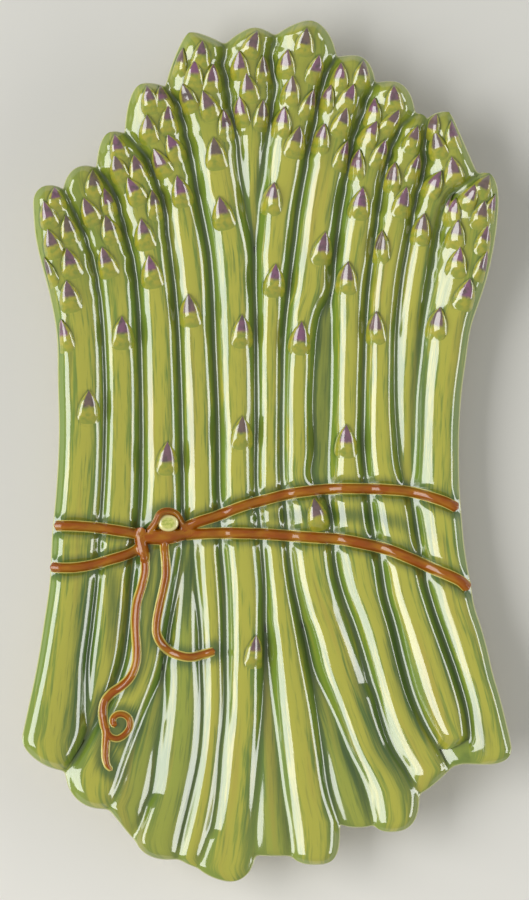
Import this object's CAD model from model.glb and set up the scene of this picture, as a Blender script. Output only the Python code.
"""Asparagus plate: a glazed earthenware plate shaped as a tied bundle of asparagus, seen from above.

Places are in hundredths of the plate's length (along) and width (across). Most are those of the part's
source; some edges, scales and paths of the tie were measured again. Shapes are worked out in millimetres
over one fine height map, so the glaze runs on from piece to piece.
"""
import math

import bpy
import numpy as np
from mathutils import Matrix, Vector


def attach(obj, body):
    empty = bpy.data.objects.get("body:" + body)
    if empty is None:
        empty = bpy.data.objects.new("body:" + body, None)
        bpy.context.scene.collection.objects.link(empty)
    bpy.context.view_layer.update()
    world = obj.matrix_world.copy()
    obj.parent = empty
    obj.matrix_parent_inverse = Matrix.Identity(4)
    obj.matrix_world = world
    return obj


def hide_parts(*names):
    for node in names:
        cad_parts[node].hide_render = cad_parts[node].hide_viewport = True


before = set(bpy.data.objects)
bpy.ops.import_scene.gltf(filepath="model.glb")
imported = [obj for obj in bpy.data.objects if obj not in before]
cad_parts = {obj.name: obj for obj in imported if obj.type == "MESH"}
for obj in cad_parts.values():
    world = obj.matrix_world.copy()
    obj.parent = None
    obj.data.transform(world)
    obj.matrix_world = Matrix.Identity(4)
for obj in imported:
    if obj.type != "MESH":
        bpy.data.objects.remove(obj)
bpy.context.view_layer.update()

MILLIMETRE = 0.001
HUNDREDTH = 0.01
# Sizes in millimetres and shares, the same as in the part's source
plate_length = 360
plate_width = 205
body_thickness = 5
end_rise = 11
side_rise = 11
side_power = 2.6
foot_height = 4
foot_length = 200
foot_width = 96
foot_wall = 7
spear_height = 6.5
full_half_width = 7
seam_height = 0.8
slip_thickness = 0.12
press_share = 0.5
# Millimetres in a hundredth of the length and the width
along_step = plate_length * HUNDREDTH
across_step = plate_width * HUNDREDTH
half_length = plate_length / 2
half_width = plate_width / 2
well_height = foot_height + body_thickness
bow_radius = (half_length * half_length + end_rise * end_rise) / (2 * end_rise)
# Distance from a strand over which it presses the spears, less than in the part's source
press_reach = 3.8

# Edges and grooves, from the butts to the tips, as [along, across]
rim_left = [[-33.5, -49.5], [-30, -48.2], [-25, -46.4], [-20, -45], [-15, -43.8], [-10, -43.4],
    [-5, -42.6], [2, -42], [8, -42.2], [14, -42.5], [16.5, -43.2], [19.5, -44.4], [22, -45.6],
    [25, -46.7], [29, -47.2]]
groove_ab = [[-37, -40.6], [-33, -36.8], [-30, -36.4], [-25, -36.2], [-20, -35.2], [-15, -34.3],
    [-10, -33.8], [-5, -33.2], [0, -32.8], [10, -32.8], [18, -33.8], [22, -35], [25, -36.8],
    [27.5, -38.8], [30, -41.1]]
groove_bc = [[-37, -40.6], [-34, -37.2], [-31, -34.2], [-28, -31.5], [-25, -29.6], [-20, -28.3],
    [-15, -27.6], [-10, -26.3], [-5, -25.6], [0, -25.5], [10, -25.7], [18, -26.3], [22, -27.1],
    [25, -28.4], [28, -29.8], [30, -30.9], [32.6, -34.3]]
groove_cd = [[-41.4, -32], [-40.5, -31], [-35, -27.3], [-30, -24.2], [-25.4, -21.3],
    [-20, -19.8], [-15, -18.1], [-11.6, -17.2], [-5, -17.2], [0, -17.4], [10, -17.9], [16, -18.4],
    [22, -19.6], [25, -20.3], [28, -20.8], [30, -21.5], [32, -22.8], [34, -24.4], [36.6, -28.5]]
groove_mn = [[-45, -26.3], [-40, -23.5], [-35, -22.3], [-30, -21.2], [-25.5, -20.9],
    [-24.6, -21.05]]
groove_nd = [[-47.2, -17.8], [-45, -17], [-40, -15], [-35, -13.3], [-30, -12.8], [-25, -13.1],
    [-20, -13.5], [-15, -14.3], [-12, -14.7], [-10.5, -14.9], [-9, -17.1]]
groove_de = [[-48.2, -13.8], [-44, -11.4], [-40, -10.1], [-35, -9.2], [-30, -8.3], [-25, -8.2],
    [-20, -8.3], [-15, -8.7], [-11, -9.3], [-5, -9.7], [5, -10], [10, -10.4], [15, -10.8], [20, -11.2],
    [23, -11.7], [26, -12.6], [30, -14.1], [34, -15.3], [38, -16.7], [40.5, -18.2], [42, -20.3]]
groove_ef = [[-46.8, -2.3], [-45, -2.3], [-40, -1.9], [-35, -1.2], [-30, -0.6], [-25, -0.4],
    [-15, -0.3], [-12, -0.7], [-9, -1.2], [-4.7, -1.9], [5, -1.8], [15, -2], [20, -2.2], [23, -2.3],
    [25, -2.9], [27, -3.6], [30, -4.4], [33, -5.2], [35.5, -5.6], [38, -6.3], [40, -7.2], [43, -7.9],
    [45, -8.8], [47, -8.2]]
groove_og = [[-46.9, 5.5], [-45, 5], [-40, 3.7], [-35, 2.6], [-30, 1.6], [-25, 0.8], [-21, 0.2],
    [-19.6, -0.25]]
groove_fg = [[22.6, -2.3], [25, -1.8], [27, -1.6], [29, -1.4], [31.7, -0.6], [33.6, -0.3],
    [36, 0.1], [38.5, 0.9], [40.4, 1.4], [42.5, 2], [43.5, 1.6], [46, 1], [48, 2]]
groove_gh = [[-43.1, 15], [-40, 13.2], [-35, 11.7], [-30, 10.4], [-25, 8.8], [-20, 7.2],
    [-15, 5.3], [-11.5, 4.5], [-8, 4.1], [-3.5, 3.4], [3, 3.3], [8, 3.4], [12, 3.6], [16, 4.1],
    [20.5, 4.9], [24, 5.7], [27.5, 6.4], [30, 7.1], [32.5, 7.9], [35, 8.8], [37, 9.6], [39.5, 10.4],
    [42.3, 11.4], [44, 12.5], [45.5, 14.3]]
groove_ph = [[-43.2, 22.2], [-38.5, 19.8], [-35, 17], [-31, 14.2], [-29, 12.7], [-25.4, 10],
    [-22, 8.5], [-20, 7.4], [-19.6, 7.05]]
groove_hi = [[-39.6, 31.2], [-37, 28.6], [-35, 26.3], [-31, 23.6], [-28.8, 22.6], [-25, 20.8],
    [-20, 18], [-15.5, 14.9], [-13, 14], [-10, 13.6], [-7, 13.2], [-5, 11.4], [-3.4, 9.6], [0, 9.8],
    [5.9, 9.6], [9.8, 9.9], [11.8, 10.1], [14.1, 10.5], [16.2, 11.3], [18.5, 13.4], [22, 14],
    [25, 14.6], [27.5, 15.2], [30, 16], [32.5, 16.8], [35, 17.4], [37, 18.2], [39, 19.6], [41, 20.7],
    [42.5, 22.2]]
groove_qi = [[-6.8, 13.2], [-3.2, 13], [0, 13.2], [5, 13.5], [10, 13.7], [15, 13.7],
    [18.5, 13.5]]
groove_ij = [[-37, 37.3], [-33.8, 34.6], [-32.2, 32.9], [-28.8, 30.1], [-24.7, 28],
    [-20.4, 26.2], [-17, 24.5], [-13, 23.4], [-9, 21.8], [-6.5, 21.2], [-3, 20.4], [0, 19.9], [5, 19.9],
    [10, 20.1], [15, 20.4], [19, 20.9], [22, 21.6], [25, 22.3], [27.5, 22.9], [30, 23.5], [32.3, 24.2],
    [34.5, 25.3], [36.5, 26.6], [38, 28.2], [39, 30.3]]
groove_jk = [[-5.2, 29.3], [-2, 27.6], [2, 26.9], [6, 26.5], [10, 26.5], [14, 26.7], [18, 27.3],
    [21, 28], [23.5, 28.8], [26, 29.6], [28.5, 30.4], [31, 31.4], [33.5, 32.3], [35.5, 32.3],
    [38.2, 33]]
groove_kl = [[-33.3, 41.5], [-30, 40.9], [-26.5, 39.2], [-22.9, 37], [-18.6, 34.3], [-15, 32.5],
    [-12, 31.6], [-10, 31], [-7, 30.2], [-5, 29.6], [-3.4, 30], [0, 30.4], [6.9, 30.8], [11.7, 31.6],
    [17.6, 32.9], [20, 33.6], [22.4, 34.3], [25, 35], [27.3, 35.8], [29, 36.9], [30.2, 38.7], [31, 41],
    [31.9, 43.2]]
rim_right = [[-34.5, 50], [-31, 48.6], [-28.5, 47.5], [-26, 46.2], [-23, 45], [-20.5, 43.8],
    [-18.5, 42.6], [-15.5, 41.7], [-12, 40.6], [-8, 39.9], [-4, 39.4], [0, 39.3], [3, 39.4], [7, 39.9],
    [10.5, 40.7], [15, 42], [17, 43.2], [20, 44.9], [23, 46.1], [26.5, 47], [29, 47.3]]
rim_step = [[-36.9, 37.4], [-36.5, 38.2], [-36.2, 40.2]]
# Paths of the tie, as [across, along] and, where it changes, a share of the thickness
upper_left = [[-43.2, -8.7], [-40, -8.7], [-35, -8.9], [-30, -9.3], [-27, -9.6]]
lower_left = [[-44, -13.5], [-41, -13.6], [-38, -13.5], [-35, -13.2], [-32, -12.7], [-29, -12.2],
    [-27.2, -11.8]]
upper_right = [[-14.8, -8.5], [-10, -7.6], [-5, -6.5], [0, -5.7], [5, -5], [10, -4.6],
    [15, -4.4], [20, -4.4], [25, -4.5], [30, -4.8], [34, -5.4], [37, -6], [39.4, -6.7]]
lower_right = [[-14.8, -9.7], [-10, -9.6], [0, -9.7], [5, -9.9], [10, -10.1], [15, -10.3],
    [20, -10.8], [25, -11.5], [30, -12.6], [35, -13.9], [38, -14.6], [40, -15.2], [41.6, -16.1]]
long_tail = [[-24.6, -12.9], [-24.6, -14], [-25.3, -15.8], [-26.2, -17.5], [-26.6, -19.5],
    [-26.5, -21.5], [-26.3, -23], [-26.5, -24.8], [-27.6, -26.3], [-29.5, -27.4], [-31.5, -28.2],
    [-32.7, -29], [-33.2, -30.3], [-33, -31.5], [-32.5, -32.5]]
curl = [[-31.6, -33.2], [-30.2, -33.4], [-28.6, -32.9], [-27.6, -31.9], [-27.8, -31.1],
    [-28.9, -30.6], [-30.2, -30.6], [-31.1, -31.1]]
tail_end = [[-32.5, -33.6, 1], [-32.6, -34.6, 1], [-32.6, -35.6, 0.9], [-32.1, -36.6, 0.7],
    [-31.2, -37.1, 0.4]]
short_tail = [[-20.6, -11.6], [-20.4, -12.8], [-20.3, -14.4], [-20.8, -16], [-21.6, -18], [-22.2, -20],
    [-22.2, -21.2], [-21.3, -22.4], [-19.7, -23.3], [-17.6, -23.8], [-15, -24], [-12.7, -23.7],
    [-10.3, -23.3]]

# Each spear: name, left edges, right edges, butt and tip as [along, across, roundness of its left and
# right corner], height share, and its bud scales as [across, along] of the middle of the purple tip
spears = [
    ["spear_a", [rim_left], [groove_ab], [-37, -41.2, 1.6, 2], [30.8, -44.3, 2, 2], 1,
        [[-42.8, 30], [-44.6, 27.9], [-40.2, 26.3], [-43.8, 24.6], [-40, 22.4], [-45, 21.3], [-40.2, 18.6],
        [-41.6, 14], [-36, 5.8]]],
    ["spear_b", [groove_ab], [groove_bc], [-37, -40.6, 2, 2], [33.1, -37, 2, 2], 0.95,
        [[-35, 31.6], [-36.3, 28.3], [-32.2, 29.5], [-32, 26.3], [-32.8, 22.5], [-29.2, 14.4]]],
    ["spear_c", [groove_bc], [groove_cd], [-41.5, -33, 2.2, 2], [37.1, -31.5, 2, 2], 1,
        [[-30.3, 35.7], [-30.3, 33.3], [-26.3, 33.3], [-27.2, 30.7], [-22.6, 29.2], [-25, 25.8],
        [-23.5, 21.5], [-20, -0.2]]],
    ["spear_d", [groove_cd, groove_nd], [groove_de], [-48.3, -14.2, 1.2, 2],
        [42.7, -25, 2, 2], 1,
        [[-23.8, 41.3], [-21, 41.4], [-24, 37.9], [-19.7, 39], [-19, 35.7], [-22, 34], [-17.5, 30.8],
        [-15.6, 17]]],
    ["spear_e", [groove_de], [groove_ef], [-50, -7, 1.5, 2], [48.7, -15.5, 1.25, 1.25], 1,
        [[-17.5, 45.7], [-13, 46.5], [-14.5, 44.2], [-10.6, 43.8], [-16.3, 41.5], [-12, 40.7], [-8, 38.5],
        [-10.3, 35.2], [-9, 28.3], [-4.7, 14.6], [-4.7, 2.8], [-1.9, -22.7]]],
    ["spear_f", [groove_ef], [groove_fg], [22.6, -2.3, 2, 2], [49.2, -2.3, 1.3, 1.35], 0.85,
        [[-2.3, 47.7], [-5.3, 45.3], [-0.2, 44.8], [-3.6, 42.7], [-5.3, 40], [-0.4, 39.6]]],
    ["spear_g", [groove_ef, groove_og, groove_fg], [groove_gh],
        [-48, 9.5, 2, 4], [50, 9, 1.35, 1.8], 1,
        [[8.2, 48], [4.3, 45.5], [10.6, 44.8], [5.3, 42.4], [9.5, 40.8], [3.5, 38.8], [6.6, 36.5],
        [1.4, 30], [2, 20.5]]],
    ["spear_h", [groove_gh, groove_ph], [groove_hi], [-44.2, 25, 2, 3],
        [45.9, 18.5, 2, 2], 1,
        [[15.2, 44], [20, 44.3], [12.7, 41.5], [17.3, 41.5], [16, 38.7], [11.5, 36.9], [16.5, 34.9],
        [12, 24.2], [7.2, 13.8], [10.4, -6.7]]],
    ["spear_i", [groove_hi, groove_qi], [groove_ij], [-39.7, 31.8, 2, 1.1],
        [42.9, 26, 2, 2], 1,
        [[26.2, 41.3], [22, 39.9], [26.3, 38.6], [21.8, 37.3], [24, 35], [18.7, 33.9], [19.5, 29.4],
        [16.7, 20.8], [16.5, 1.8]]],
    ["spear_j", [groove_ij], [groove_jk, groove_kl], [-34.7, 37, 2, 1.2],
        [39.2, 31.4, 2, 2], 1,
        [[30.5, 36.7], [31, 33.3], [26, 32.4], [28.4, 29.5], [23.5, 24.4], [22.5, 15]]],
    ["spear_k", [groove_jk], [groove_kl], [-5.2, 29.4, 2, 2], [39.4, 37.5, 2, 1], 0.9,
        [[34.3, 38.3], [38.3, 37.3], [34.8, 36], [38.2, 33], [34.8, 31.5], [32, 26.4]]],
    ["spear_l", [groove_kl], [rim_right], [-36.3, 44.5, 4, 2.5], [32.3, 45.3, 2, 2], 1,
        [[45, 31.4], [42, 30], [46.8, 28.7], [44.2, 27.9], [36.5, 29], [38.3, 28.3], [39, 25.7], [45, 25],
        [39.3, 22.5], [45, 22], [41.2, 18.8], [35.2, 15.5]]],
    ["rear_stalk_m", [groove_cd], [groove_mn], [-45.1, -26.8, 1, 2], [-24.6, -21, 2, 2], 0.7, []],
    ["rear_stalk_n", [groove_cd, groove_mn], [groove_nd], [-47.4, -20, 2, 2],
        [-9, -17.1, 2, 2], 0.9, []],
    ["rear_stalk_o", [groove_ef], [groove_og], [-47, 2, 2, 2], [-19.6, -0.3, 2, 2], 0.45, []],
    ["rear_stalk_p", [groove_gh], [groove_ph], [-43.7, 19, 2, 2], [-19.6, 7.1, 2, 2], 0.45, []],
    ["rear_stalk_q", [groove_hi], [groove_qi], [-6.8, 13.2, 2, 2], [18.5, 13.5, 2, 2], 0.4, []],
]
NAME, LEFT, RIGHT, BUTT, TIP, HEIGHT, SCALES = range(7)
# Spears that reach the rim: from left to right along the butts, the last one beyond a step in the rim, and
# from right to left along the tips
butt_order = [0, 2, 12, 13, 3, 4, 14, 6, 15, 7, 8]
last_spear = 11
tip_order = range(last_spear, -1, -1)
headed_spears = [spear for spear in spears if spear[SCALES]]
# The two lines that press the spears, each over the whole width
upper_press = upper_left + [[-21, -9.6]] + upper_right
lower_press = lower_left + [[-21, -10.2]] + lower_right


def across_mm(share):
    return np.asarray(share, float) * HUNDREDTH * plate_width


def along_mm(share):
    return np.asarray(share, float) * HUNDREDTH * plate_length


def butt_y(spear):
    return along_mm(spear[BUTT][0])


def tip_y(spear):
    return along_mm(spear[TIP][0])


def fade(distance, reach):
    """From 1 at no distance down to 0 at the reach."""
    return np.clip(1 - distance / reach, 0, 1)


def smoothed(values, count, reach, axis=0):
    """Values smoothed with a bell curve along an axis that closes on itself."""
    steps = np.arange(-count, count + 1)
    weights = np.exp(-0.5 * (steps / reach) ** 2)
    return sum(weight * np.roll(values, -step, axis) for step, weight in zip(steps, weights / weights.sum()))


def run_along(places):
    """Length of a path up to each of its points."""
    return np.concatenate([[0], np.cumsum(np.hypot(*np.diff(places[:, :2], axis=0).T))])


def grid_points(x, y, z):
    """Points of a grid, row after row; a coordinate that is the same along rows or columns is repeated."""
    return np.column_stack([values.ravel() for values in np.broadcast_arrays(x, y, z)])


def lookup(table, at):
    """A table of [place, value] rows read at any place, on a smooth curve through the rows."""
    places, values = np.array([row[:2] for row in table], float).T
    slopes = np.gradient(values, places)
    at = np.clip(at, places[0], places[-1])
    i = np.clip(np.searchsorted(places, at, side="right") - 1, 0, len(places) - 2)
    gap = places[i + 1] - places[i]
    t = (at - places[i]) / gap
    return ((1 + 2 * t) * (1 - t) ** 2 * values[i] + t * (1 - t) ** 2 * gap * slopes[i]
            + t * t * (3 - 2 * t) * values[i + 1] + t * t * (t - 1) * gap * slopes[i + 1])


def dish(x, y):
    """Height of the bowed body's upper face."""
    lift = side_rise * (np.abs(x) / half_width) ** side_power
    return well_height + bow_radius - np.sqrt((bow_radius - lift) ** 2 - y * y)


def edge(spear, along, side):
    """Left (side 0) or right (side 1) edge of a spear in hundredths, at places along it."""
    grooves = spear[LEFT + side]
    farther = np.maximum if side == 0 else np.minimum
    low = min(groove[0][0] for groove in grooves)
    high = max(groove[-1][0] for groove in grooves)
    inside = np.clip(along, low, high)
    across = np.full(np.shape(along), -1000.0 if side == 0 else 1000.0)
    for groove in grooves:
        reached = (inside >= groove[0][0]) & (inside <= groove[-1][0])
        across = np.where(reached, farther(across, lookup(groove, inside)), across)
    for end, corner, beyond in ((spear[TIP], high, along > high), (spear[BUTT], low, along < low)):
        span = end[0] - corner
        if span == 0:
            continue
        power = end[2 + side]
        part = np.clip((along - corner) / span, 0, 1)
        across = np.where(beyond, end[1] + (across - end[1]) * (1 - part ** power) ** (1 / power), across)
    return across


def girth(spear, y):
    """Middle and half width of a spear in millimetres, at places along it in millimetres."""
    along = np.asarray(y, float) / along_step
    left, right = (across_mm(edge(spear, along, side)) for side in (0, 1))
    return (left + right) / 2, (right - left) / 2


def waver(y, number):
    """Slow unevenness of a hand-finished spear along its length, between about -1 and 1."""
    return (np.sin(y / 21 + 1.7 * number) + 0.6 * np.sin(y / 9.5 + 2.9 * number)
            + 0.35 * np.sin(y / 4.7 + 4.1 * number)) / 1.95


# One fine map of heights above the dish carries the whole relief
map_step = 0.3
map_margin = 9
stamp_extent = 2.6
map_x = np.arange(-half_width - map_margin, half_width + map_margin, map_step)
map_y = np.arange(-half_length - map_margin, half_length + map_margin, map_step)


def blank_map():
    return np.zeros((len(map_y), len(map_x)))


def blurred(values, reach):
    """A map smoothed both ways, reach in millimetres. What runs over its edge stays off the plate."""
    count = int(3 * reach / map_step) + 1
    return smoothed(smoothed(values, count, reach / map_step), count, reach / map_step, axis=1)


def split_place(at, places):
    """The last place on a map before a place, and the share of the step beyond it."""
    steps = (at - places[0]) / map_step
    whole = np.clip(np.floor(steps).astype(int), 0, len(places) - 2)
    return whole, np.clip(steps - whole, 0, 1)


def sampled(values, x, y):
    """A map read at any place."""
    (i, v), (j, u) = (split_place(at, places) for at, places in ((y, map_y), (x, map_x)))
    return ((1 - v) * ((1 - u) * values[i, j] + u * values[i, j + 1])
            + v * ((1 - u) * values[i + 1, j] + u * values[i + 1, j + 1]))


def window(x, y, reach):
    """The block of a map round a place, and the distance of its points from there."""
    i, j = (np.flatnonzero(np.abs(places - at) < reach) for places, at in ((map_y, y), (map_x, x)))
    return np.ix_(i, j), np.hypot(map_y[i, None] - y, map_x[j] - x)


def stamp(values, x, y, reach, strength=1.0):
    """Marks a place on a map with a soft spot."""
    block, away = window(x, y, stamp_extent * reach)
    values[block] = np.maximum(values[block], strength * np.exp(-(away / reach) ** 2))


# Powers of a spear's cross-section on its left and right flank: the higher, the flatter its crest. The right
# flank's power falls towards the plate's left side and grows towards its right side
usual_left_power = 2.5
usual_right_power = 3.6
left_half_growth, right_half_growth = 0.9, 3
flank_powers = {"spear_a": (3.6, 5.5), "spear_b": (8, 3.4), "spear_c": (2.5, 7), "rear_stalk_m": (14, 2.4),
                "rear_stalk_n": (2, 3.3)}
# Change near the butt, over this distance, of the left flank's power and of the height as a share of itself;
# usually the height changes only on the plate's right half. The very end drops as well
butt_reach = 90
butt_powers = {"spear_d": 2, "spear_e": -0.7, "spear_g": 0.9, "spear_h": 0.7, "spear_i": -0.2,
               "spear_j": -0.7, "spear_l": 2.2}
butt_heights = {"spear_e": -0.6, "spear_j": 0.3}
usual_butt_height = -0.25
end_drop_reach = 10
end_drop_share = 0.35
# How far from its butt the left flank of a spear is pinched
pinched_ends = {"rear_stalk_n": 26, "spear_e": 21}
pinch_power = 7
pinch_fade = 4
# Where the right flank of one spear is a flat slope, from and to in millimetres, and where the spear swells
flat_spear = "spear_h"
flat_from, flat_to = -104, -58
flat_power = 1.7
swell_place, swell_reach, swell_share = -80, 22, 0.35
# Clay that fills the corner between two butts: across, along
corner_fill = [[38.6, -35.3], [39.8, -35.4], [41, -35.2], [42.2, -35], [43.2, -35]]
fill_reach = 4
fill_height = 5
# Ribs along a spear, ripple on its head, and the blur of the glaze that pools over them
rib_height = 0.12
ripple_height = 0.75
head_reach = 55
least_half_width = 0.05
glaze_blur = 1.3


def make_lift_map():
    """Height of every spear above the dish, pressed down along the two lines of the tie."""
    at = map_x / across_step
    upper, lower = (np.abs(map_y[:, None] - along_mm(lookup(line, at)))
                    for line in (upper_press, lower_press))
    press = 1 - press_share * np.exp(-(np.minimum(upper, lower) / press_reach) ** 4)
    lifts = blank_map()
    for number, spear in enumerate(spears):
        name = spear[NAME]
        rows = np.flatnonzero((map_y > butt_y(spear)) & (map_y < tip_y(spear)))
        y = map_y[rows, None]
        from_butt = y - butt_y(spear)
        near_butt = fade(from_butt, butt_reach)
        middle, half = girth(spear, y)
        half = np.maximum(half, least_half_width)
        outward = middle / half_width
        part = (map_x - middle) / half
        inside = np.abs(part) < 1
        part = np.clip(part, -1, 1)
        uneven = waver(y, number)
        usual_left = usual_left_power + butt_powers.get(name, 0) * near_butt
        growth = np.where(outward < 0, left_half_growth, right_half_growth)
        usual_right = usual_right_power + growth * outward
        left_power, right_power = flank_powers.get(name, (usual_left, usual_right))
        pinched = np.clip((pinched_ends.get(name, 0) - from_butt) / pinch_fade, 0, 1)
        left_power = left_power + pinch_power * pinched
        taller = butt_heights.get(name, usual_butt_height * np.clip(2.4 * outward, 0, 1))
        full = (spear_height - seam_height) * spear[HEIGHT] * np.minimum(1, half / full_half_width)
        full = full * (1 + taller * near_butt)
        if name == flat_spear:
            flat = np.clip((y - flat_from) / 6, 0, 1) * np.clip((flat_to - y) / 8, 0, 1)
            right_power = right_power + (flat_power - right_power) * flat
            full = full * (1 + swell_share * np.exp(-((y - swell_place) / swell_reach) ** 2))
        full = full * (1 - end_drop_share * fade(from_butt, end_drop_reach) ** 2)
        bent = part + 0.05 * uneven * (1 - part ** 2)
        dome = np.clip(1 - np.abs(bent) ** np.where(bent < 0, left_power, right_power), 0, 1)
        ribs = rib_height * np.cos(7.5 * part + 2.3 * number + 0.9 * uneven) * (1 - part ** 4)
        if spear[SCALES]:
            ripple = np.sin(y / 1.25 + 3.2 * part + number) * np.cos(3.3 * part + number)
            ribs = ribs + ripple_height * fade(tip_y(spear) - y, head_reach) * ripple
        lift = full * dome * (1 + 0.03 * waver(y + 40, number)) + ribs
        lifts[rows] = np.maximum(lifts[rows], np.where(inside, seam_height + lift * press[rows], 0))
    for across, along in corner_fill:
        stamp(lifts, across_mm(across), along_mm(along), fill_reach, fill_height)
    return blurred(lifts, glaze_blur)


# Length and width of a bud scale at the point of a head and down the stalk; the share of it below its place,
# the share of its round base, and how near the spear's edge it comes
tip_scale = np.array([13.4, 8.4])
stalk_scale = np.array([15.4, 10])
scale_back_share = 0.7
scale_base_share = 0.3
scale_edge_share = 0.96


def scale_points(spear, place, rows=25, columns=15):
    """One bud scale as a grid from its round base to its point: places, height, shares along and across."""
    below_tip = spear[TIP][0] - place[1]
    full, width = tip_scale + (stalk_scale - tip_scale) * np.clip((below_tip - 2) / 13, 0, 1)
    start = np.array([across_mm(place[0]), along_mm(place[1])])
    below, above = (girth(spear, start[1] + step)[0] for step in (-4, 4))
    direction = np.array([above - below, 8.0])
    direction /= np.hypot(*direction)
    back = scale_back_share * full
    ahead = min(full - back, tip_y(spear) - start[1] - 0.6)
    u = (1 - np.cos(np.linspace(0, math.pi, rows))) / 2
    v = np.sin(np.linspace(-1, 1, columns) * math.pi / 2)
    taper = 1 - np.clip((u - scale_base_share) / (1 - scale_base_share), 0, 1) ** 2.1
    outline = np.sqrt(1 - fade(u, scale_base_share) ** 2) * taper
    u, v = np.meshgrid(u, v, indexing="ij")
    outline = np.repeat(outline[:, None], columns, axis=1)
    forward = u * (back + ahead) - back
    sideways = v * outline * width / 2
    x = start[0] + direction[0] * forward + direction[1] * sideways
    y = start[1] + direction[1] * forward - direction[0] * sideways
    middle, half = girth(spear, y)
    half = np.maximum(half, 0.3)
    part = (x - middle) / half
    x = middle + half * part / (1 + np.abs(part / scale_edge_share) ** 8) ** (1 / 8)
    near_base = np.clip(u / 0.5, 0, 1)
    rise = near_base * near_base * (3 - 2 * near_base)
    dome = 0.2 * width * outline * rise * (1 - np.abs(v) ** 3.6) + 1.1 * u ** 1.6
    return x, y, dome, u, v


# Small bare buds on a head: share of the half width aside, distance below the tip, reach and strength
bare_buds = [(0.74 if k % 2 else -0.74, 6 + 4.6 * k, 2, 1.6) for k in range(10)]
bare_buds += [(0, 3.2, 1.8, 1.5), (-0.45, 5.8, 1.8, 1.5), (0.5, 6.4, 1.8, 1.5), (0.05, 9.5, 1.8, 1.5)]


def make_bump_map():
    """Soft swelling of the glaze round every bud scale, and the small bare buds of the heads."""
    bumps = blank_map()
    for spear in headed_spears:
        for place in spear[SCALES]:
            x, y = scale_points(spear, place, 13, 3)[:2]
            half = np.hypot(x[:, 2] - x[:, 0], y[:, 2] - y[:, 0]) / 2
            for k in range(1, 12):
                stamp(bumps, x[k, 1], y[k, 1], half[k] + 0.9)
        for aside, drop, reach, strength in bare_buds:
            y = tip_y(spear) - drop
            middle, half = girth(spear, y)
            stamp(bumps, middle + half * aside, y, reach, strength)
    return blurred(bumps, 0.7)


bump_height = 0.5
groove_reach, groove_depth = 2.6, 1.5
bed_reach = 1.9
lift_map = make_lift_map() + bump_height * make_bump_map()
groove_map = np.clip((blurred(lift_map, groove_reach) - lift_map) / groove_depth, 0, 1)
bed_map = blurred(lift_map, bed_reach)


def ground(x, y):
    """Height of the glazed relief."""
    return dish(x, y) + slip_thickness + sampled(lift_map, x, y)


def bed(x, y):
    """Height that a strand of the tie settles to."""
    return dish(x, y) + slip_thickness + sampled(bed_map, x, y)


def smooth_path(rows, spacing=0.7):
    """Evenly spaced points on a smooth curve through the rows of a path, with a thickness share at each."""
    rows = np.array([(list(row) + [1])[:3] for row in rows], float)
    rows[:, 0] = across_mm(rows[:, 0])
    rows[:, 1] = along_mm(rows[:, 1])
    run = run_along(rows)
    at = np.linspace(0, run[-1], max(8, int(run[-1] / spacing)))
    return np.column_stack([lookup(np.column_stack([run, column]), at) for column in rows.T])


# Path of the wrap, and the two cuts along it, in millimetres aside
wrap_path = [[-25.2, -8.9], [-25.5, -9.6], [-25.5, -10.4], [-25.2, -11.4], [-24.9, -12.3]]
wrap_cuts = (-0.8, 0.8)
# The tie: name, path, width, height above its bed and height below which its glaze is pale
ties = [
    ["tie_upper_left", upper_left + [[-25, -9.9]], 3.7, 2.6, 1.7],
    ["tie_lower_left", lower_left + [[-25.2, -11]], 3.5, 2.5, 1.7],
    ["tie_upper_right", [[-16.8, -9]] + upper_right, 3.7, 2.6, 1.7],
    ["tie_lower_right", [[-16.8, -9.8]] + lower_right, 3.9, 2.6, 1.7],
    ["tie_knot", [[-25.4, -10.2, 0.6], [-24, -10.1, 0.85], [-22.6, -10, 1.05], [-21, -10, 1.05],
        [-19.6, -9.9, 1.05], [-18, -9.8, 0.9], [-16.4, -9.6, 0.75], [-14.6, -9.5, 0.6]], 5.6, 3.2, 1.5],
    ["tie_wrap", wrap_path, 4.4, 4.2, 1.5],
    ["tie_eyelet", [[-24, -9.6, 1.5], [-23, -8.9, 1.3], [-22.2, -8.1, 1.1], [-21.7, -7.4, 1],
        [-21, -7.1, 1], [-20, -7, 1], [-19, -7.1, 1], [-18.2, -7.4, 1], [-17.6, -8, 1.1],
        [-17, -8.7, 1.3], [-16, -9.3, 1.5]], 2.1, 2.8, 1.2],
    ["tie_long_tail", [[-24.6, -11.6]] + long_tail, 3.2, 1.7, 2.2],
    ["tie_curl", [[-32.6, -32.4]] + curl + [[-31, -31.7], [-30.3, -31.8]], 2.2, 1.8, 2],
    ["tie_tail_end", [[-32.7, -32, 1], [-32.5, -32.8, 1]] + tail_end, 2.9, 1.7, 2.2],
    ["tie_short_tail", [[-20.7, -10.6]] + short_tail, 3.2, 1.7, 2.2],
]
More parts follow.
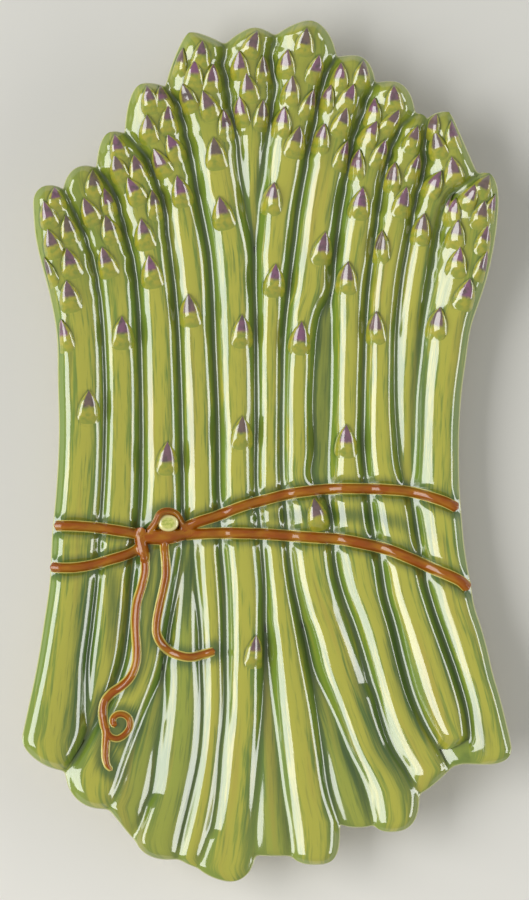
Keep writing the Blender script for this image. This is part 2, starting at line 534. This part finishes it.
# Broad strokes of dark glaze: path as [across, along], half width in millimetres and strength
brush_strokes = [
    [[[-36, -11], [-36.6, -20], [-37.6, -28], [-39.4, -33], [-41.4, -39]], 6, 0.85],
    [[[-32, -10], [-31.5, -14], [-31, -19], [-31.4, -26]], 4.4, 0.68],
    [[[-24, -11], [-23.4, -18], [-24.5, -27]], 3.4, 0.66],
    [[[-15, -10], [-16, -15], [-17, -22]], 2.8, 0.8],
    [[[-44, -11.3], [-38, -11.1], [-30, -10.8]], 4, 0.35],
    [[[-11, -8.8], [0, -7.7], [12, -7.4], [25, -8], [38, -10.6]], 4.2, 0.75],
    [[[12.5, 19], [12, 9], [11.6, 2], [11.8, -6]], 3.2, 0.42],
    [[[33, 17], [32, 6], [31.6, -4]], 2.4, 0.6],
    [[[17, -23], [19.5, -27.5], [21.9, -31.3], [24.2, -35], [28, -38.7], [29, -43]], 5.2, 0.8],
    [[[24.6, -17], [26.8, -23.8], [28.3, -27.5], [30.9, -31.3], [33, -34.5]], 4.6, 0.66],
    [[[33.5, -17], [36.6, -23.8], [38.4, -27.5], [40.4, -32]], 4.4, 0.66],
    [[[42.4, -29], [43.8, -33.6], [44.6, -36.4]], 5, 0.56],
    [[[13.5, -30], [16.4, -35], [19, -38.7], [21, -43.6]], 3.8, 0.66],
    [[[10, -32], [12.3, -38.7], [13.8, -44]], 3.8, 0.62],
]
# Crown of a strand and the cuts along the wrap, and how far dark glaze pools beside the tie
crown_power = 4
cut_reach, cut_depth = 0.4, 1.2
tie_blur = 0.4
tie_wash_reach = 5.2
# Dark line round a bud scale: column of its outline, left or right, and strength
scale_lines = ((0, 0.7), (2, 0.45))
scale_line_reach = 0.8


def make_tie_map():
    """Height of the whole tie above its bed, run together where strands meet."""
    heights, cuts = blank_map(), blank_map()
    for name, path, width, height, pale in ties:
        for x, y, share in smooth_path(path, 0.4):
            reach = share * width / 2
            block, away = window(x, y, reach)
            crown = np.sqrt(np.clip(1 - (away / reach) ** crown_power, 0, 1))
            heights[block] = np.maximum(heights[block], height * min(1, share + 0.15) * crown)
    for x, y, share in smooth_path(wrap_path, 0.4):
        for aside in wrap_cuts:
            stamp(cuts, x + aside, y, cut_reach)
    return blurred(heights - cut_depth * cuts, tie_blur)


def make_wash_map():
    """Where dark green glaze pools: beside the tie, along the brush strokes and round every bud scale."""
    wash = blank_map()
    for name, path, width, height, pale in ties:
        for x, y, share in smooth_path(path, 1.5):
            stamp(wash, x, y, tie_wash_reach)
    for path, reach, strength in brush_strokes:
        places = smooth_path(path, 1.5)
        taper = np.sin(np.linspace(0.03, 0.97, len(places)) * math.pi) ** 0.7
        for (x, y, share), part in zip(places, taper):
            stamp(wash, x, y, reach, strength * part)
    for spear in headed_spears:
        for place in spear[SCALES]:
            x, y, dome, u, v = scale_points(spear, place, 45, 3)
            for column, strength in scale_lines:
                for px, py, share in zip(x[:-1, column], y[:-1, column], u[:-1, column]):
                    stamp(wash, px, py, scale_line_reach, strength * (0.4 + 0.6 * min(1, share / 0.4)))
    return wash


tie_map = make_tie_map()
wash_map = make_wash_map()


def grid_faces(rows, columns, first=0, flip=False):
    """Quads of a grid of points, row after row."""
    a = first + (np.arange(rows - 1)[:, None] * columns + np.arange(columns - 1)).ravel()
    quads = np.column_stack([a, a + 1, a + columns + 1, a + columns])
    return (quads[:, ::-1] if flip else quads).tolist()


def loop_faces(rings, count, closed=False):
    """Quads between rings of points, and from the last ring to the first if closed."""
    faces = []
    turn = np.arange(count)
    for i in range(rings if closed else rings - 1):
        a = i * count + turn
        b = i * count + (turn + 1) % count
        step = count if i < rings - 1 else -i * count
        faces += np.column_stack([a + step, b + step, b, a]).tolist()
    return faces


def add_object(name, data):
    """A new object in the scene."""
    thing = bpy.data.objects.new(name, data)
    bpy.context.scene.collection.objects.link(thing)
    return thing


def add_piece(name, node, slot, points, faces, marks, crease=55):
    """A mesh piece that stands for a node, with its painting marks kept on its points."""
    mesh = bpy.data.meshes.new(name)
    mesh.from_pydata((np.asarray(points) * MILLIMETRE).tolist(), [], faces)
    for key, values in marks.items():
        values = np.asarray(values, np.float32)
        kind = "FLOAT_VECTOR" if values.ndim == 2 else "FLOAT"
        layer = mesh.attributes.new(key, kind, "POINT")
        layer.data.foreach_set("vector" if values.ndim == 2 else "value", values.ravel())
    mesh.polygons.foreach_set("use_smooth", np.ones(len(mesh.polygons), bool))
    mesh.set_sharp_from_angle(angle=math.radians(crease))
    mesh.update()
    mesh.materials.append(materials[slot])
    piece = add_object(name, mesh)
    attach(piece, "root")
    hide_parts(node)


# Rows of a spear's mesh: distances from its two ends, an even step between them, and the narrowest row
end_rows = np.array([0.05, 0.2, 0.4, 0.7, 1.1, 1.6, 2.2, 2.9])
even_from = 3.4
even_step = 0.8
least_row_half_width = 0.4
spear_columns = 37
# Painted marks of a spear: head and its fade in hundredths below the tip, butt in millimetres, and the place
# below which a butt has one
head_paint, head_fade = 16, 5
butt_paint = 60
butts_below = -30


def make_spear(number, spear):
    """A spear as a closed mesh: the sheet of glaze on top, low walls in the grooves and a flat bed."""
    name, low, high = spear[NAME], butt_y(spear), tip_y(spear)
    inner = np.arange(math.ceil((low + even_from) / even_step) * even_step, high - even_from, even_step)
    y = np.concatenate([low + end_rows, inner, (high - end_rows)[::-1]])
    y = y[girth(spear, y)[1] > least_row_half_width, None]
    middle, half = girth(spear, y)
    rows, columns = len(y), spear_columns
    turn = np.linspace(-1, 1, columns) * math.pi / 2 * 0.92
    part = np.sin(turn) / math.sin(turn[-1])
    x = middle + half * part
    edges = middle + half * np.array([-1, 1])
    points = np.concatenate([grid_points(x, y, ground(x, y)), grid_points(edges, y, dish(edges, y) - 0.1)])
    faces = grid_faces(rows, columns)
    first = rows * columns
    last = first - columns
    for i in range(rows - 1):
        a, b = i * columns, first + 2 * i
        faces.append([a, a + columns, b + 2, b])
        faces.append([a + columns - 1, b + 1, b + 3, a + 2 * columns - 1])
        faces.append([b, b + 2, b + 3, b + 1])
    faces.append([first, first + 1] + list(range(columns - 1, -1, -1)))
    faces.append([first + 2 * rows - 1, first + 2 * rows - 2] + list(range(last, first)))
    all_x, all_y = points[:, 0], points[:, 1]
    aside = np.concatenate([(x - middle).ravel(), (edges - middle).ravel()])
    below_tip = spear[TIP][0] - all_y / along_step
    nowhere = np.zeros(len(points))
    marks = {
        "flank": np.concatenate([np.tile(part, rows), np.tile([-1.0, 1.0], rows)]),
        "groove": sampled(groove_map, all_x, all_y),
        "wash": sampled(wash_map, all_x, all_y),
        "head": np.clip((head_paint - below_tip) / head_fade, 0, 1) if spear[SCALES] else nowhere,
        "butt": fade(all_y - low, butt_paint) if low < along_mm(butts_below) else nowhere,
        "paint": grid_points(aside + 37 * number, all_y * 0.06, number),
    }
    slot = "rear_glaze" if name.startswith("rear") else "spear_glaze"
    add_piece("glazed_" + name, name, slot, points, faces, marks)


def make_scales(number, spear):
    """All bud scales of a spear as one mesh of closed, domed leaves."""
    points, faces = [], []
    marks = {"tip": [], "flank": [], "paint": [], "shade": []}
    for order, place in enumerate(spear[SCALES]):
        x, y, dome, u, v = scale_points(spear, place)
        rows, columns = x.shape
        size = rows * columns
        first = 2 * size * order
        base = ground(x, y)
        points += [grid_points(x, y, base + dome - 0.1), grid_points(x, y, base - 0.5)]
        faces += grid_faces(rows, columns, first)
        faces += grid_faces(rows, columns, first + size, flip=True)
        grid = np.arange(first, first + size).reshape(rows, columns)
        ring = np.concatenate([grid[0], grid[1:, -1], grid[-1, -2::-1], grid[-2:0:-1, 0]])
        after = np.roll(ring, -1)
        faces += np.column_stack([after, ring, ring + size, after + size]).tolist()
        seed = 11.0 * number + 3.7 * order
        marks["tip"] += [u.ravel()] * 2
        marks["flank"] += [v.ravel()] * 2
        marks["paint"] += [grid_points(x + seed, y + seed, seed)] * 2
        marks["shade"].append(np.full(2 * size, 0.618 * (seed + order) % 1))
    marks = {key: np.concatenate(values) for key, values in marks.items()}
    name = spear[NAME]
    add_piece("bud_scales_" + name[-1], name + "_scales", "scale_glaze", np.concatenate(points), faces, marks)


# Columns of a strand's mesh and the width of the lip at its feet
strand_columns = 15
lip_width = 0.55


def make_tie(order, name, path, width, pale):
    """A moulded strand of the merged tie, with its two feet on the relief and rounded ends."""
    path = smooth_path(path)
    run = run_along(path)
    from_end = np.minimum(run, run[-1] - run)
    nose = np.sqrt(np.clip(1 - fade(from_end, 0.45 * width) ** 2, 0.02, 1))
    direction = np.gradient(path[:, :2], axis=0)
    direction /= np.linalg.norm(direction, axis=1)[:, None]
    t = np.sin(np.linspace(-1, 1, strand_columns) * math.pi / 2)
    t = np.concatenate([[-1], t, [1]])
    lip = np.array([-lip_width] + [0] * strand_columns + [lip_width])
    aside = (path[:, 2] * nose * width / 2)[:, None] * t + nose[:, None] * lip
    x = path[:, 0, None] - direction[:, 1, None] * aside
    y = path[:, 1, None] + direction[:, 0, None] * aside
    rise = sampled(tie_map, x, y)
    under = ground(x, y)
    z = np.maximum(bed(x, y) + rise, under + 0.1) + 0.004 * order
    z[:, [0, -1]] = under[:, [0, -1]] - 0.15
    rows, columns = x.shape
    faces = grid_faces(rows, columns, flip=True)
    for a in range(0, (rows - 1) * columns, columns):
        faces.append([a + columns, a + 2 * columns - 1, a + columns - 1, a])
    faces.append(list(range(columns)))
    faces.append(list(range(rows * columns - 1, (rows - 1) * columns - 1, -1)))
    marks = {
        "edge": fade(rise.ravel(), pale),
        "paint": grid_points(0.4 * run[:, None], t * 2.6, 9.0 * order),
    }
    add_piece("glazed_" + name, name, "tie_glaze", grid_points(x, y, z), faces, marks, crease=70)


# The button: middle in hundredths, half axes, height of its rim over the bed, height above and depth below
# the rim, and its dimple
button_place = (-19.9, -8.4)
button_half_axes = (4.4, 3.7)
button_lift, button_height, button_depth = 1.2, 1.5, 2.2
dimple_depth, dimple_reach = 0.5, 0.35


def make_button():
    """The pale drop of glaze inside the eyelet, with a dimple in its middle."""
    middle_x, middle_y = across_mm(button_place[0]), along_mm(button_place[1])
    rings, count = 9, 40
    share = np.linspace(0, 1, rings)[:, None]
    turn = np.arange(count) * 2 * math.pi / count
    base = bed(middle_x, middle_y) + button_lift
    x = middle_x + button_half_axes[0] * share * np.cos(turn)
    y = middle_y + button_half_axes[1] * share * np.sin(turn)
    z = base + button_height * np.sqrt(1 - share ** 2.5) - dimple_depth * np.exp(-(share / dimple_reach) ** 2)
    points = np.concatenate([grid_points(x, y, z), grid_points(x[-1], y[-1], base - button_depth)])
    faces = loop_faces(rings + 1, count)
    faces.append(list(range(len(points) - 1, rings * count - 1, -1)))
    marks = {"flank": np.append(np.repeat(share, count), np.ones(count)), "paint": points * [1, 1, 0]}
    add_piece("glaze_button", "eyelet_button", "button_glaze", points, faces, marks)


def racetrack(turn, inset):
    """Points of the foot's outline, straight sides and round ends, seen at given angles from its middle."""
    radius = foot_width / 2 - inset
    straight = (foot_length - foot_width) / 2
    cosine, sine = np.cos(turn), np.sin(turn)
    on_side = radius / np.maximum(np.abs(cosine), 1e-6)
    on_end = straight * np.abs(sine) + np.sqrt(np.maximum(radius ** 2 - (straight * cosine) ** 2, 0))
    far = np.where(np.abs(on_side * sine) <= straight, on_side, on_end)
    return np.column_stack([far * cosine, far * sine])


def cap_rim(spear, at_tip):
    """Rim round the end of one spear, in hundredths, in the order that the outline runs."""
    end, farther, row = (spear[TIP], max, -1) if at_tip else (spear[BUTT], min, 0)
    rim = []
    for side in ((1, 0) if at_tip else (0, 1)):
        corner = farther(groove[row][0] for groove in spear[LEFT + side])
        places = corner + (end[0] - corner) * np.sin(np.linspace(0, 1, 14) * math.pi / 2 * 0.97)
        if farther(end[0], corner) == corner:
            places = np.array([end[0]])
        rim.append(np.column_stack([edge(spear, places, side), places]))
    return np.concatenate([rim[0], [[end[1], end[0]]], rim[1][::-1]])


# Points of the outline, the step along the two long rims in hundredths, and how far glaze fills the notches
rim_count = 1100
rim_spacing = 0.8
notch_fill = 1.8


def rim_loop():
    """The plate's outline as evenly spaced points, with its notches filled by the glaze."""
    outline = [cap_rim(spears[i], False) for i in butt_order]
    outline.append(np.array([[across, along] for along, across in rim_step]))
    last = cap_rim(spears[last_spear], False)
    outline.append(last[last[:, 0] >= spears[last_spear][BUTT][1]])
    right = np.arange(rim_right[0][0] + 0.6, rim_right[-1][0], rim_spacing)
    outline.append(np.column_stack([lookup(rim_right, right), right]))
    outline += [cap_rim(spears[i], True) for i in tip_order]
    left = np.arange(rim_left[-1][0] - 0.3, rim_left[0][0], -rim_spacing)
    outline.append(np.column_stack([lookup(rim_left, left), left]))
    outline = np.concatenate(outline)
    outline = np.column_stack([across_mm(outline[:, 0]), along_mm(outline[:, 1])])
    closed = np.concatenate([outline, outline[:1]])
    run = run_along(closed)
    at = np.linspace(0, run[-1], rim_count, endpoint=False)
    loop = np.column_stack([np.interp(at, run, column) for column in closed.T])
    reach = int(round(notch_fill / (run[-1] / rim_count)))
    return smoothed(loop, 3 * reach, reach)


# Rings of the body. Upper face: shares of the way out, then offset from the outline, sink and rim mark. Edge:
# offset, share of the edge's height, rim and under mark. Bed of the foot: inset and share of the way down
upper_shares = (0.02, 0.3, 0.6, 0.85)
upper_rings = ((-3.2, 0.9, 0), (-1.6, 0.35, 0), (-0.7, 0.1, 0), (-0.1, 0.02, 0.1), (0.2, 0.05, 0.6))
edge_rings = ((0.45, 0.96, 1, 0), (0.58, 0.88, 0.9, 0), (0.6, 0.76, 0.3, 0), (0.55, 0.6, 0, 0.2),
              (0.3, 0.4, 0, 0.5), (-0.1, 0.2, 0, 0.8), (-0.8, 0.07, 0, 1), (-1.9, 0.01, 0, 1), (-4, 0, 0, 1))
bed_rings = ((-1.6, 0.12), (-0.5, 0.5), (0.0, 1.0))
bed_inset = -3.5


def make_body():
    """The bowed slab: a rounded rim bead, the plain underside and the flat bed of the foot."""
    loop = rim_loop()
    count = len(loop)
    run = np.roll(loop, -3, axis=0) - np.roll(loop, 3, axis=0)
    run /= np.linalg.norm(run, axis=1)[:, None]
    outward = np.column_stack([run[:, 1], -run[:, 0]])
    inner = loop + upper_rings[0][0] * outward
    rings = [(inner * share, dish(*(inner * share).T) - 0.4, 0, 0) for share in upper_shares]
    for offset, sink, rim in upper_rings:
        places = loop + offset * outward
        rings.append((places, ground(*places.T) - sink, rim, 0))
    top = rings[-1][1]
    low = dish(*loop.T) - body_thickness
    for offset, share, rim, under in edge_rings:
        rings.append((loop + offset * outward, low + (top - low) * share, rim, under))
    turn = np.arctan2(loop[:, 1], loop[:, 0])
    start = loop + edge_rings[-1][0] * outward
    end = racetrack(turn, bed_inset)
    for share in np.linspace(0, 1, 12)[1:]:
        places = start + (end - start) * share
        rings.append((places, dish(*places.T) - body_thickness, 0, 1))
    for inset, drop in bed_rings:
        places = racetrack(turn, inset)
        upper = dish(*places.T) - body_thickness
        rings.append((places, upper + (foot_height - upper) * drop, 0, 1))
    rings += [(racetrack(turn, 0) * share, foot_height, 0, 1) for share in upper_shares[::-1]]
    points = np.concatenate([grid_points(*places.T, z) for places, z, rim, under in rings])
    faces = loop_faces(len(rings), count)
    faces.append(list(range(count)))
    faces.append(list(range(len(points) - 1, len(points) - count - 1, -1)))
    marks = {
        "rim": np.repeat([rim for places, z, rim, under in rings], count),
        "under": np.repeat([under for places, z, rim, under in rings], count),
        "groove": sampled(groove_map, points[:, 0], points[:, 1]),
        "paint": points * [1, 1, 0],
    }
    add_piece("glazed_body", "plate_body", "body_glaze", points, faces, marks)


# Outer half of the foot's section: inset and height. The inner half mirrors it
foot_profile = [(0, foot_height), (0.25, 2.6), (0.6, 1.1), (1.0, 0.45), (1.6, 0.1), (2.2, 0)]


def make_foot():
    """The foot ring: drawn in a little towards the table, with softened edges and a bare standing face."""
    turn = np.linspace(0, 2 * math.pi, 240, endpoint=False)
    profile = foot_profile + [(foot_wall - inset, z) for inset, z in foot_profile[::-1]]
    points = np.concatenate([grid_points(*racetrack(turn, inset).T, z) for inset, z in profile])
    faces = loop_faces(len(profile), len(turn), closed=True)
    marks = {"rim": points[:, 2] / foot_height, "paint": points}
    add_piece("clay_foot", "foot_ring", "foot_clay", points, faces, marks)


def tint(red, green, blue):
    """A screen colour of 0 to 255 as Blender's linear colour."""
    levels = [value / 255 for value in (red, green, blue)]
    return tuple(v / 12.92 if v <= 0.04045 else ((v + 0.055) / 1.055) ** 2.4 for v in levels) + (1.0,)


class Paint:
    """A procedural material, built node by node, under a clear layer of glaze if it has a coat."""

    def __init__(self, name, roughness, coat=0.0):
        self.material = bpy.data.materials.new(name)
        self.material.use_nodes = True
        self.tree = self.material.node_tree
        self.shader = self.tree.nodes["Principled BSDF"]
        self.fill(self.shader, {"Roughness": roughness, "IOR": 1.5})
        if coat:
            self.fill(self.shader, {"Coat Weight": coat, "Coat Roughness": 0.05, "Coat IOR": 1.65})

    def fill(self, node, inputs):
        """Links or sets inputs of a node."""
        for key, value in inputs.items():
            if isinstance(value, bpy.types.NodeSocket):
                self.tree.links.new(value, node.inputs[key])
            else:
                node.inputs[key].default_value = value

    def add(self, kind, inputs, **settings):
        """Outputs of a new node."""
        node = self.tree.nodes.new("ShaderNode" + kind)
        for key, value in settings.items():
            setattr(node, key, value)
        self.fill(node, inputs)
        return node.outputs

    def mark(self, name, output="Fac"):
        return self.add("Attribute", {}, attribute_name=name)[output]

    def sum(self, operation, *values):
        return self.add("Math", dict(enumerate(values)), operation=operation)[0]

    def vary(self, base, pattern, amount):
        """A value moved up and down by a pattern."""
        return self.sum("MULTIPLY_ADD", self.sum("SUBTRACT", pattern, 0.5), amount, base)

    def step(self, value, low, high):
        """Smooth step from 0 at low to 1 at high."""
        inputs = {"Value": value, "From Min": low, "From Max": high}
        return self.add("MapRange", inputs, interpolation_type="SMOOTHSTEP")["Result"]

    def part(self, value, low, high, share):
        """Smooth step from 0 at low to a share at high."""
        return self.sum("MULTIPLY", self.step(value, low, high), share)

    def mix(self, factor, first, second):
        return self.add("Mix", {0: factor, 6: first, 7: second}, data_type="RGBA")[2]

    def noise(self, vector, scale, detail=2.0, rough=0.5):
        inputs = {"Vector": vector, "Scale": scale, "Detail": detail, "Roughness": rough}
        return self.add("TexNoise", inputs)["Fac"]

    def bump(self, height, strength, distance=0.0006):
        normal = self.add("Bump", {"Strength": strength, "Distance": distance, "Height": height})["Normal"]
        self.fill(self.shader, {"Normal": normal})

    def finished(self, colour):
        self.fill(self.shader, {"Base Color": colour})
        return self.material


def make_spear_glaze(name, crest, leaf, deep):
    """Brushed glaze: yellow on the crest, green on the flanks, dark where it pools in the grooves."""
    paint = Paint(name, 0.12, 1.0)
    place = paint.mark("paint", "Vector")
    streak = paint.noise(place, 0.95, 3.0, 0.6)
    patch = paint.noise(place, 0.17)
    cloud = paint.noise(place, 0.3)
    aside = paint.mark("flank")
    flank = paint.sum("MULTIPLY_ADD", aside, -0.2, paint.sum("ABSOLUTE", aside))
    away = paint.vary(paint.vary(flank, streak, 2.2), cloud, 1.8)
    colour = paint.mix(paint.step(away, 0.15, 0.85), crest, leaf)
    ochre = paint.part(patch, 0.55, 0.72, 0.4)
    colour = paint.mix(ochre, colour, tint(172, 150, 58))
    dull = paint.part(streak, 0.54, 0.74, 0.42)
    colour = paint.mix(dull, colour, tint(124, 128, 52))
    right = paint.part(paint.vary(aside, streak, 0.9), 0.2, 0.85, 0.55)
    colour = paint.mix(right, colour, tint(94, 120, 48))
    head = paint.sum("MULTIPLY", paint.mark("head"), 0.55)
    colour = paint.mix(head, colour, tint(138, 149, 47))
    butt = paint.part(paint.mark("butt"), 0.3, 1.0, 0.25)
    colour = paint.mix(butt, colour, tint(168, 168, 58))
    pool = paint.step(paint.vary(paint.mark("groove"), streak, 0.5), 0.25, 1.05)
    colour = paint.mix(pool, colour, deep)
    wash = paint.part(paint.vary(paint.mark("wash"), streak, 0.6), 0.1, 0.85, 0.8)
    colour = paint.mix(wash, colour, tint(58, 90, 36))
    paint.bump(paint.noise(place, 1.4), 0.06)
    return paint.finished(colour)


def make_scale_glaze():
    """Bud scales: a purple brushed tip over a yellow-green leaf that darkens along its edge."""
    paint = Paint("scale_glaze", 0.12, 1.0)
    place = paint.mark("paint", "Vector")
    tip = paint.mark("tip")
    shade = paint.mark("shade")
    mottle = paint.noise(place, 0.45, 3.0)
    fine = paint.noise(place, 1.3)
    flank = paint.sum("ABSOLUTE", paint.mark("flank"))
    leaf = paint.mix(paint.step(mottle, 0.35, 0.7), tint(170, 164, 50), tint(134, 147, 47))
    leaf = paint.mix(paint.step(tip, 0.28, 0.02), leaf, tint(140, 151, 50))
    leaf = paint.mix(paint.part(flank, 0.85, 1.0, 0.4), leaf, tint(84, 100, 32))
    hue = paint.sum("FRACT", paint.sum("MULTIPLY", shade, 3.7))
    purple = paint.mix(hue, tint(128, 82, 112), tint(108, 92, 76))
    purple = paint.mix(paint.step(mottle, 0.4, 0.75), purple, tint(88, 74, 72))
    border = paint.vary(paint.vary(tip, mottle, 0.12), shade, 0.14)
    spread = paint.vary(flank, fine, 0.25)
    painted = paint.part(border, 0.45, 0.57, paint.step(spread, 0.74, 0.46))
    paint.bump(fine, 0.05)
    return paint.finished(paint.mix(painted, leaf, purple))


def make_tie_glaze():
    """Red-brown glaze that breaks to pale yellow along the edges of the strand."""
    paint = Paint("tie_glaze", 0.14, 0.7)
    place = paint.mark("paint", "Vector")
    mottle = paint.noise(place, 0.22, 3.0)
    brown = paint.mix(paint.step(mottle, 0.35, 0.68), tint(146, 72, 0), tint(164, 106, 12))
    rim = paint.step(paint.vary(paint.mark("edge"), mottle, 0.5), 0.5, 0.8)
    paint.fill(paint.shader, {"Specular IOR Level": 0.1})
    paint.bump(paint.noise(place, 1.2), 0.08)
    return paint.finished(paint.mix(rim, brown, tint(204, 190, 96)))


def make_button_glaze():
    """A pale, mottled drop of yellow-green glaze, with a paler ring and a darker rim."""
    paint = Paint("button_glaze", 0.12, 1.0)
    out = paint.mark("flank")
    mottle = paint.noise(paint.mark("paint", "Vector"), 0.9, 3.0)
    colour = paint.mix(paint.step(mottle, 0.4, 0.65), tint(200, 202, 104), tint(164, 176, 72))
    colour = paint.mix(paint.step(out, 0.5, 0.8), colour, tint(228, 222, 150))
    colour = paint.mix(paint.step(out, 0.9, 1.0), colour, tint(150, 130, 60))
    return paint.finished(colour)


def make_body_glaze():
    """Green glaze that thins to a pale line along the rim, and cream glaze below."""
    paint = Paint("body_glaze", 0.14, 1.0)
    place = paint.mark("paint", "Vector")
    mottle = paint.noise(place, 0.11, 4.0)
    green = paint.mix(paint.step(mottle, 0.35, 0.7), tint(132, 148, 50), tint(98, 122, 42))
    colour = paint.mix(paint.mark("rim"), green, tint(196, 196, 138))
    cream = paint.mix(paint.step(mottle, 0.3, 0.75), tint(226, 219, 190), tint(206, 202, 160))
    paint.bump(paint.noise(place, 0.6), 0.06, 0.0008)
    return paint.finished(paint.mix(paint.step(paint.mark("under"), 0.2, 0.75), colour, cream))


def make_foot_clay():
    """Cream glaze on the walls of the foot, bare speckled clay where it stands."""
    paint = Paint("foot_clay", 0.5)
    speckle = paint.noise(paint.mark("paint", "Vector"), 1.1, 4.0)
    clay = paint.mix(paint.step(speckle, 0.4, 0.7), tint(214, 196, 164), tint(184, 158, 124))
    paint.bump(speckle, 0.2)
    return paint.finished(paint.mix(paint.step(paint.mark("rim"), 0.12, 0.4), clay, tint(224, 217, 188)))


def make_floor_paint():
    """Pale grey studio floor, a little darker towards the heads and the right."""
    paint = Paint("floor_paint", 0.9)
    place = paint.add("TexCoord", {})["Object"]
    split = paint.add("SeparateXYZ", {0: place})
    along = paint.vary(split["Y"], paint.noise(place, 2.0), 0.05)
    along = paint.sum("MULTIPLY_ADD", split["X"], 0.6, along)
    paint.fill(paint.shader, {"Specular IOR Level": 0.1})
    return paint.finished(paint.mix(paint.step(along, 0.25, -0.35), tint(211, 210, 203), tint(227, 225, 217)))


materials = {
    "spear_glaze": make_spear_glaze("spear_glaze", tint(174, 172, 60), tint(112, 138, 48), tint(76, 98, 46)),
    "rear_glaze": make_spear_glaze("rear_glaze", tint(146, 156, 56), tint(96, 124, 46), tint(72, 96, 42)),
    "scale_glaze": make_scale_glaze(),
    "tie_glaze": make_tie_glaze(),
    "button_glaze": make_button_glaze(),
    "body_glaze": make_body_glaze(),
    "foot_clay": make_foot_clay(),
}

make_body()
make_foot()
for number, spear in enumerate(spears):
    make_spear(number, spear)
    if spear[SCALES]:
        make_scales(number, spear)
for order, (name, path, width, height, pale) in enumerate(ties):
    make_tie(order, name, path, width, pale)
make_button()

# Floor, lights and camera, in metres
floor_reach = 3.0


def make_floor():
    mesh = bpy.data.meshes.new("floor")
    corners = [(-floor_reach, -floor_reach, 0), (floor_reach, -floor_reach, 0), (floor_reach, floor_reach, 0),
               (-floor_reach, floor_reach, 0)]
    mesh.from_pydata(corners, [], [(0, 1, 2, 3)])
    mesh.materials.append(make_floor_paint())
    floor = add_object("floor", mesh)


def add_light(name, place, length, height, radiance):
    """A soft box that faces the plate, its length level and along the plate, given its brightness."""
    lamp = bpy.data.lights.new(name, "AREA")
    lamp.shape = "RECTANGLE"
    lamp.size = length
    lamp.size_y = height
    lamp.energy = radiance * math.pi * length * height
    light = add_object(name, lamp)
    light.location = place
    light.rotation_euler = (-Vector(place)).to_track_quat("-Z", "Y").to_euler()


box_radiance = 4.8
make_floor()
add_light("left_box", (-3.08, -0.04, 2.24), 3.68, 2.80, box_radiance)
add_light("right_box", (3.64, -0.04, 1.08), 3.68, 1.36, box_radiance)
world = bpy.data.worlds.new("studio")
bpy.context.scene.world = world
world.use_nodes = True
background = world.node_tree.nodes["Background"]
background.inputs["Color"].default_value = (1.0, 1.0, 1.0, 1.0)
background.inputs["Strength"].default_value = 0.37

# The photograph looks straight down; its frame is 529 by 900 and the plate spans 860 pixels of its height
image_height = 900
plate_pixels = 860
camera_height = 2.4
camera_data = bpy.data.cameras.new("camera")
camera_data.sensor_fit = "VERTICAL"
camera_data.sensor_height = 36
shown_height = plate_length * MILLIMETRE * image_height / plate_pixels
rim_height = 0.020
camera_data.lens = camera_data.sensor_height * (camera_height - rim_height) / shown_height
camera = add_object("camera", camera_data)
camera.location = (-0.0004, 0.0004, camera_height)
bpy.context.scene.camera = camera

bpy.context.scene.view_settings.view_transform = "Standard"
